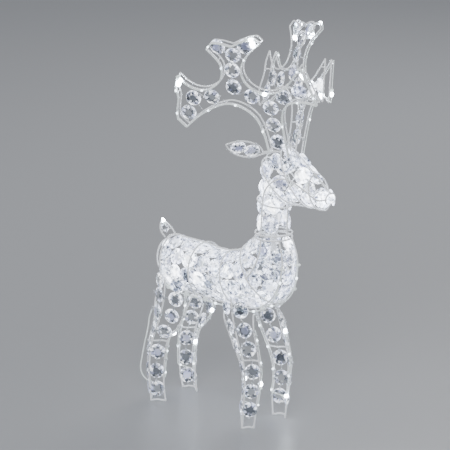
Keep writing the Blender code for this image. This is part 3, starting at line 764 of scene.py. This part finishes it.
def nearest(path, lengths, place):
    """How far along a path it comes nearest to a place."""
    best = None
    for i, (a, b) in enumerate(zip(path, path[1:])):
        share = min(max((place - a).dot(b - a) / (b - a).length_squared, 0), 1)
        gap = (a.lerp(b, share) - place).length
        if best is None or gap < best[0]:
            best = (gap, lengths[i] + share * (b - a).length)
    return best[1]


def even(length, gap):
    """Distances that share a length out evenly, about a gap apart."""
    count = max(1, int(length / gap))
    return [length * (k + 0.5) / count for k in range(count)]


# Pieces


def strand(node, body, discs, looks, mood="dim", radius=DISC, extra=(), anchors=(), hot=()):
    """A row of discs with its caps and links, in place of the row's CAD node.

    Extra discs hang beside the row. Anchors are pairs of a disc's number and the place on a frame
    wire, with the wire's direction, that a side link runs to. Hot discs get more facets painted with an
    LED's glow.
    """
    stones, trim = Parts(), Parts()
    ends = []
    for number, (centre, along, across) in enumerate(discs):
        shine = "hot" if number in hot else mood
        # Painted glints: in a lit row some discs get, at random, the hot mood's glowing facets or the dim
        # one's.
        if mood == "lit" and number not in hot:
            shine = chance.choice(("lit", "lit", "lit", "lit", "lit", "hot", "dim"))
        add_disc(stones, centre, along, across, radius, shine)
        ends.append((centre - along * radius, centre + along * radius))
        for end in ends[-1]:
            add_cap(trim, end, along)
    for centre, along, across in extra:
        add_disc(stones, centre, along, across, radius, mood)
        add_cap(trim, centre - along * radius, along)
    for before, after in zip(ends, ends[1:]):
        if (after[0] - before[1]).length > DISC_GAP:
            add_link(trim, before[1], after[0])
    for number, place, direction in anchors:
        centre = discs[number][0]
        edge = centre + (place - centre).normalized() * (radius - 1)
        if (place - edge).length > SIDE_GAP:
            add_link(trim, edge, place)
        add_clip(trim, place, direction)
    stones.make(node + "_discs", body, looks["crystal"], [node], "clear_acrylic")
    trim.make(node + "_caps", body, looks["trim"], slot="clear_plastic")


def torso(looks):
    parts = Parts()
    add_wire(parts, TORSO.rib(0, 7, 90))
    for angle in (RAIL_ANGLE, 180 - RAIL_ANGLE):
        add_wire(parts, TORSO.rib(0, 7, angle))
    for angle in (0, 180):
        add_wire(parts, TORSO.rib(4.6, 7, angle))
    for u in (1, 2.1, 3.2):
        add_wire(parts, TORSO.hoop(u, RAIL_ANGLE - 3, 180 - RAIL_ANGLE + 3))
    for u in (0, 4.6, 7):
        add_wire(parts, TORSO.hoop(u), closed=True)
    for u in (0, 1, 2.1, 3.2, 4.6, 7):
        for angle in (RAIL_ANGLE, 90, 180 - RAIL_ANGLE):
            add_weld(parts, TORSO.at(u, angle, -WIRE))
    for u in (4.6, 7):
        for angle in (0, 180):
            add_weld(parts, TORSO.at(u, angle, -WIRE))
    parts.make("torso_wires", "body", [looks["wire"]], ["torso_frame"], "white_wire")
    for name, angle in (("left", RAIL_ANGLE), ("right", 180 - RAIL_ANGLE)):
        string = Parts()
        path = [point - Vector((0, 0, RAIL_DROP)) for point in TORSO.rib(0.4, 6.4, angle)]
        add_wire(string, path, RAIL_CABLE, sides=THIN_SIDES)
        lengths = lengths_of(path)
        for place in even(lengths[-1], RAIL_TIE_GAP):
            point, direction = place_along(path, lengths, place)
            add_tie(string, point + Vector((0, 0, RAIL_DROP / 2)), direction, 6.4)
        for place in even(lengths[-1], 2 * RAIL_TIE_GAP):
            point, direction = place_along(path, lengths, place)
            add_led(string, point, direction, SOFT_LED)
        string.make(f"rail_lights_{name}", "body", looks["led"], slot="led_string")
    for number, knots in enumerate(TORSO_ROWS, start=1):
        strand(f"torso_row_left_{number}", "body", shell_row(TORSO, *knots), looks, "lit")
        mirrored = [(u, 180 - angle) for u, angle in knots]
        strand(f"torso_row_right_{number}", "body", shell_row(TORSO, *mirrored), looks, "lit")
    strand("chest_row", "body", shell_row(TORSO, (4.75, -90), (5.8, -90)), looks, "lit")
    rump = [(Vector(place), Vector((0, 0, -1)), Vector((0, 1, 0))) for place in RUMP_DISCS]
    strand("rump_row", "body", rump, looks, "lit")


def tail(looks):
    outline = TAIL + [(x, -y, z) for x, y, z in TAIL[-2::-1]]
    parts = Parts()
    add_wire(parts, bent(outline, 2))
    x, y, z = TAIL[1]
    add_wire(parts, bent([(x, y, z), (x - 2, 0, z + 2), (x, -y, z)], 2), TAIL_CROSS_WIRE)
    parts.make("tail_wires", "body", [looks["wire"]], ["tail_frame"], "white_wire")
    along = Vector((TAIL[0][0] - TAIL[-1][0], 0, TAIL[0][2] - TAIL[-1][2])).normalized()
    disc = [(Vector(TAIL_DISC), along, Vector((0, 1, 0)))]
    strand("tail_crystal", "body", disc, looks, "dim", TAIL_DISC_RADIUS)
    tip = Parts()
    add_led(tip, Vector(TAIL[-1]) + along * 8, -along, HOT_LED, HOT_SIZE)
    tip.make("tail_led", "body", looks["led"], slot="led_string")


def leg_rows(name, end, lines, side, looks):
    """Rows of discs from a leg's ridge to its rear and its front wire."""
    for kind in ("rear", "front"):
        discs, anchors = [], []
        for number, z in enumerate(LEG_DISCS[end]):
            ends = []
            for level in (z + 6, z, z - 6):
                a = Vector((at_height(lines[kind], level), side * LEG_INNER_Y, level))
                b = Vector((at_height(lines["ridge"], level), side * LEG_RIDGE_Y, level))
                ends.append((a, b))
            along = (sum(ends[2], Vector()) - sum(ends[0], Vector())).normalized()
            discs.append(((ends[1][0] + ends[1][1]) / 2, along, ends[1][1] - ends[1][0]))
            if z < lines[kind][0][1]:
                anchors.append((number, ends[1][0], (ends[2][0] - ends[0][0]).normalized()))
            anchors.append((number, ends[1][1], (ends[2][1] - ends[0][1]).normalized()))
        centre, along, across = discs[0]
        extra = [(centre - along * HAUNCH_STEP, along, across)] if end == "hind" else []
        strand(f"{name}_{kind}_row", "body", discs, looks, radius=LEG_DISC, extra=extra, anchors=anchors)


def leg(end, side_name, side, looks):
    lines = FRONT_LEG if end == "front" else HIND_LEG
    name = f"{end}_leg_{side_name}"
    parts = Parts()
    ties = Parts()
    for kind, y in LEG_WIRES:
        line = [(x, side * y, z) for x, z in lines[kind]]
        if kind != "ridge":
            x, _, z = line[0]
            line = [(x, side * HOOK_START_Y, z - 3), (x, side * HOOK_BEND_Y, z - 2)] + line[1:]
            add_tie(ties, Vector((x, side * (HOOK_START_Y + 1.5), z - 3)), Vector((0, 1, 0)), 2.0)
        add_wire(parts, bent(line, 4))
    knee = KNEE_Z[end]
    spots = []
    for kind, y in LEG_WIRES:
        spots.append(Vector((at_height(lines[kind], knee), side * y, knee)))
        add_weld(parts, spots[-1])
    inwards = Vector((0, -side * KNEE_STEP, 0))
    crossing = [spots[0], (spots[0] + spots[1]) / 2 + inwards, spots[1]]
    crossing += [(spots[1] + spots[2]) / 2 + inwards, spots[2]]
    add_wire(parts, smooth(crossing, 6))
    half = HOOF_BAR / 2
    rear, ridge, front = (lines[kind][-1][0] for kind in ("rear", "ridge", "front"))
    ridge_y, middle_y = side * LEG_RIDGE_Y, side * (LEG_INNER_Y + LEG_RIDGE_Y) / 2
    hoof = [(rear, side * LEG_INNER_Y, half + 5), (rear + 2, side * (LEG_INNER_Y + 1), half)]
    hoof += [((rear + ridge) / 2, middle_y, half + HOOF_RISE), (ridge, ridge_y, half)]
    hoof += [((front + ridge) / 2, middle_y, half + HOOF_RISE), (front - 2, side * (LEG_INNER_Y + 1), half)]
    hoof += [(front, side * LEG_INNER_Y, half + 5)]
    add_wire(parts, bent(hoof, 3), half)
    parts.make(name + "_wires", "body", [looks["wire"]], [name], "white_wire")
    for z in (LEG_LIGHTS_TOP - 12, (LEG_LIGHTS_TOP + knee) / 2, knee - 12, (LEG_LIGHTS_FOOT + knee) / 2):
        for kind in ("rear", "front"):
            place = Vector((at_height(lines[kind], z), side * (LEG_INNER_Y - LEG_LIGHTS_IN / 2), z))
            run = Vector((at_height(lines[kind], z - 5) - place.x, 0, -5)).normalized()
            add_tie(ties, place, run, 4.6)
    ties.make(name + "_ties", "body", [looks["trim"][CAP]], slot="clear_plastic")
    leg_rows(name, end, lines, side, looks)


def head(looks):
    parts = Parts()
    for angle in (90, -90, 0, 180):
        add_wire(parts, HEAD.rib(0, 8, angle, 60))
    for u in (0, 1.5, 3, 4.6, 6.4, 8):
        add_wire(parts, HEAD.hoop(u), closed=True)
        for angle in (90, -90, 0, 180):
            add_weld(parts, HEAD.at(u, angle, -WIRE))
    parts.make("head_wires", "head", [looks["wire"]], ["head_frame"], "white_wire")
    brow = shell_row(HEAD, (4.35, 90), (6.75, 90))
    strand("neck_row_back", "head", shell_row(HEAD, (0.12, 90), (2.95, 90)), looks, "lit", extra=brow)
    strand("neck_row_front", "head", shell_row(HEAD, (0.12, -90), (1.7, -90)), looks, "lit")
    for name, mirror in (("left", 0), ("right", 180)):
        turn = -1 if mirror else 1
        rows = []
        for knots in HEAD_ROWS:
            rows.append(shell_row(HEAD, *((u, mirror + turn * angle) for u, angle in knots)))
        upper, lower, muzzle = rows
        hot = (len(lower) - 1, len(lower))
        strand(f"head_row_{name}_upper", "head", upper, looks, "lit", hot=(len(upper) - 1,))
        strand(f"head_row_{name}_lower", "head", lower + muzzle, looks, "lit", hot=hot)
    nose = [(Vector(NOSE_DISC), Vector((0, 0, -1)), Vector((0, 1, 0)))]
    # The nose disc's facets carry a painted glow for the light inside the muzzle.
    strand("nose_crystal", "head", nose, looks, "hot", NOSE_DISC_RADIUS + 2)


def ear(name, side, looks):
    base, tip = Vector((94, side * 42, 622)), Vector((58, side * 118, 648))
    reach = tip - base
    wide = Vector((0.55, 0, 0.83)).normalized()
    upper = [base + reach * s + wide * (EAR_HALF * w) for s, w in EAR_SHAPE]
    lower = [base + reach * s - wide * (EAR_HALF * w) for s, w in EAR_SHAPE[:-1]]
    parts = Parts()
    add_wire(parts, bent(upper + lower[::-1], 2.5, closed=True), closed=True)
    root = Vector((EAR_ROOT[0], side * EAR_ROOT[1], EAR_ROOT[2]))
    for edge in (upper[0], lower[0]):
        add_wire(parts, smooth([edge, edge.lerp(root, 0.5) + Vector((0, 0, 1.5)), root], 4))
    add_weld(parts, root)
    parts.make(f"ear_wires_{name}", "head", [looks["wire"]], [f"ear_frame_{name}"], "white_wire")
    along = reach.normalized()
    discs = [(base + reach * s, along, wide) for s in (0.29, 0.66)]
    anchors = []
    for number, ((s, w), (later, wider)) in enumerate((EAR_SHAPE[1:3], EAR_SHAPE[3:5])):
        middle, half = (s + later) / 2, (w + wider) / 2
        for sign in (1, -1):
            anchors.append((number, base + reach * middle + wide * (sign * EAR_HALF * half), along))
    strand(f"ear_crystals_{name}", "head", discs, looks, radius=EAR_DISC, anchors=anchors)


def outline_hit(x, z, direction):
    """Where a line in the antler's plane first meets the outline, and the outline's direction there."""
    best = None
    closed = ANTLER + ANTLER[:1]
    for (ax, az), (bx, bz) in zip(closed, closed[1:]):
        run_x, run_z = bx - ax, bz - az
        cross = direction[0] * run_z - direction[1] * run_x
        if abs(cross) < 1e-6:
            continue
        far = ((ax - x) * run_z - (az - z) * run_x) / cross
        share = ((ax - x) * direction[1] - (az - z) * direction[0]) / cross
        if 0 <= share <= 1 and 0 < far < LINK_REACH and (best is None or far < best[0]):
            best = (far, (run_x, run_z))
    return best


def antler_anchors(spots, side):
    """Where side links from a strand meet the antler's outlines, on one layer and the other in turn."""
    origin = antler_point(0, 0, side)
    found = []
    for number, ((x, z), run) in enumerate(zip(spots, tangents([Vector((x, 0, z)) for x, z in spots]))):
        for sign in (1, -1):
            direction = (sign * run.z, -sign * run.x)
            hit = outline_hit(x, z, direction)
            if not hit:
                continue
            far, run_there = hit
            layer = ANTLER_LAYER * (1 if (number + (sign > 0)) % 2 else -1)
            place = antler_point(x + direction[0] * far, z + direction[1] * far, side, layer)
            found.append((number, place, (antler_point(*run_there, side) - origin).normalized()))
    return found


def antler(name, side, looks):
    parts = Parts()
    layers = (-ANTLER_LAYER, ANTLER_LAYER)
    for layer in layers:
        add_wire(parts, bent([antler_point(x, z, side, layer) for x, z in ANTLER], 3))
    for index in ANTLER_SPACERS:
        spot = Vector(ANTLER[index]).lerp(Vector(ANTLER[index + 1]), 0.4).to_tuple()
        add_wire(parts, [antler_point(*spot, side, layer) for layer in layers], SPACER)
    parts.make(f"antler_wires_{name}", "head", [looks["wire"]], [f"antler_frame_{name}"], "white_wire")
    square = antler_point(0, 0, side, 1) - antler_point(0, 0, side)
    for part, spots in ANTLER_STRANDS.items():
        centres = [antler_point(x, z, side) for x, z in spots]
        discs = [(c, d, d.cross(square)) for c, d in zip(centres, tangents(centres))]
        extra = []
        if part == "crown":
            tip, root = (antler_point(x, z, side) for x, z in CROWN_TIP)
            away = (tip - root).normalized()
            extra = [(tip, away, away.cross(square))]
        hot = (0, 1) if (part, name) == ("front", "left") else ()
        strand(
            f"antler_{part}_{name}", "head", discs, looks,
            radius=ANTLER_DISC, extra=extra, anchors=antler_anchors(spots, side), hot=hot,
        )


# Lights


def light_string(node, body, path, bulbs, looks, hot=(), clusters=()):
    """A clear cable with an LED at each of those distances, in place of a light string's CAD node."""
    path = [Vector(p) for p in path]
    parts = Parts()
    add_wire(parts, path, CABLE, sides=THIN_SIDES)
    lengths = lengths_of(path)
    for number, distance in enumerate(bulbs):
        point, direction = place_along(path, lengths, distance)
        if number in hot:
            add_led(parts, point, direction, HOT_LED, HOT_SIZE)
        else:
            add_led(parts, point, direction, SOFT_LED, SOFT_SIZE)
    for point, direction in clusters:
        add_led(parts, point, direction, HOT_LED, CLUSTER_SIZE)
    parts.make(node + "_string", body, looks["led"], [node], "led_string")


def leg_lights(name, lines, side, looks):
    y = side * (LEG_INNER_Y - LEG_LIGHTS_IN)
    levels = [LEG_LIGHTS_TOP + (LEG_LIGHTS_FOOT - LEG_LIGHTS_TOP) * i / 24 for i in range(25)]
    path = [Vector((at_height(lines["rear"], z), y, z)) for z in levels]
    path += [Vector((at_height(lines["front"], z), y, z)) for z in levels[::-1]]
    bulbs = even(lengths_of(path)[-1], LEG_LED_GAP)
    light_string(f"leg_lights_{name}", "body", bent(path, 4, 1), bulbs, looks, HOT_LEG_BULBS[name])


def winding(shell, first, span, angle, turns, scale, steps):
    """A coil inside a shell, from the first station over a span of them."""
    found = []
    for i in range(steps + 1):
        share = i / steps
        found.append(shell.at(first + span * share, angle + turns * 360 * share, 0, scale))
    return found


def lights(looks):
    coil = winding(TORSO, 0.9, 5.1, 200, 5.0, LIGHTS_SCALE, 224)
    coil += [Vector((NECK_X, 0, z)) for z in (378, 394, 440, 478)]
    light_string("torso_lights", "body", coil, even(lengths_of(coil)[-1], TORSO_LED_GAP), looks)
    coil = [Vector((NECK_X, 0, z)) for z in (488, 496)]
    coil += winding(HEAD, 1.9, 5.2, 90, 3.0, HEAD_LIGHTS_SCALE, 144)
    bulbs = even(lengths_of(coil)[-1], HEAD_LED_GAP)
    light_string("head_lights", "head", coil, bulbs, looks, HOT_HEAD_BULBS)
    lift = ANTLER_LAYER + WIRE + CLEAR + LED_HALF
    for name, side in (("left", 1), ("right", -1)):
        path = bent([antler_point(x, z, side, lift) for x, z in ANTLER], 3)
        lengths = lengths_of(path)
        bulbs = [nearest(path, lengths, antler_point(x, z, side, lift)) for x, z in ANTLER_BULBS]
        hang = Vector((0, 0, -1))
        glows = [(antler_point(x, z, side, lift / 2), hang) for x, z in ANTLER_GLOWS[name]]
        light_string(f"antler_lights_{name}", "head", path, bulbs, looks, HOT_ANTLER_BULBS[name], glows)
        for end, lines in (("front", FRONT_LEG), ("hind", HIND_LEG)):
            leg_lights(f"{end}_{name}", lines, side, looks)


# Lead


def lead(cable):
    """The loop of clear lead behind the right hind leg."""
    route = smooth(LEAD_ROUTE, 4)
    curve = bpy.data.curves.new("lead", "CURVE")
    curve.dimensions = "3D"
    curve.bevel_depth = LEAD * MM
    curve.bevel_resolution = 3
    curve.use_fill_caps = True
    spline = curve.splines.new("POLY")
    spline.points.add(len(route) - 1)
    for spot, point in zip(spline.points, route):
        spot.co = (*(point * MM), 1)
    made = bpy.data.objects.new("lead", curve)
    bpy.context.scene.collection.objects.link(made)
    curve.materials.append(cable)
    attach(made, "body")
    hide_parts("lead_cable")


def carried_over(node, finish):
    """Gives a CAD node that keeps its shape its finished material."""
    materials = frame["nodes"][node].data.materials
    materials.clear()
    materials.append(finish)


def main():
    camera()
    studio()
    cable = cable_finish()
    lead(cable)
    looks = {
        "wire": wire_finish(),
        "crystal": crystal_finishes(),
        "trim": [cap_finish(), link_finish()],
        "led": [cable, led_finish("led_hot", 36), led_finish("led_soft", 4)],
    }
    torso(looks)
    tail(looks)
    head(looks)
    for name, side in (("left", 1), ("right", -1)):
        for end in ("front", "hind"):
            leg(end, name, side, looks)
        ear(name, side, looks)
        antler(name, side, looks)
    lights(looks)
    for node in ("neck_post", "neck_sleeve"):
        carried_over(node, looks["wire"])
    for node in ("power_inlet", "lead_relief"):
        carried_over(node, looks["trim"][CAP])


main()
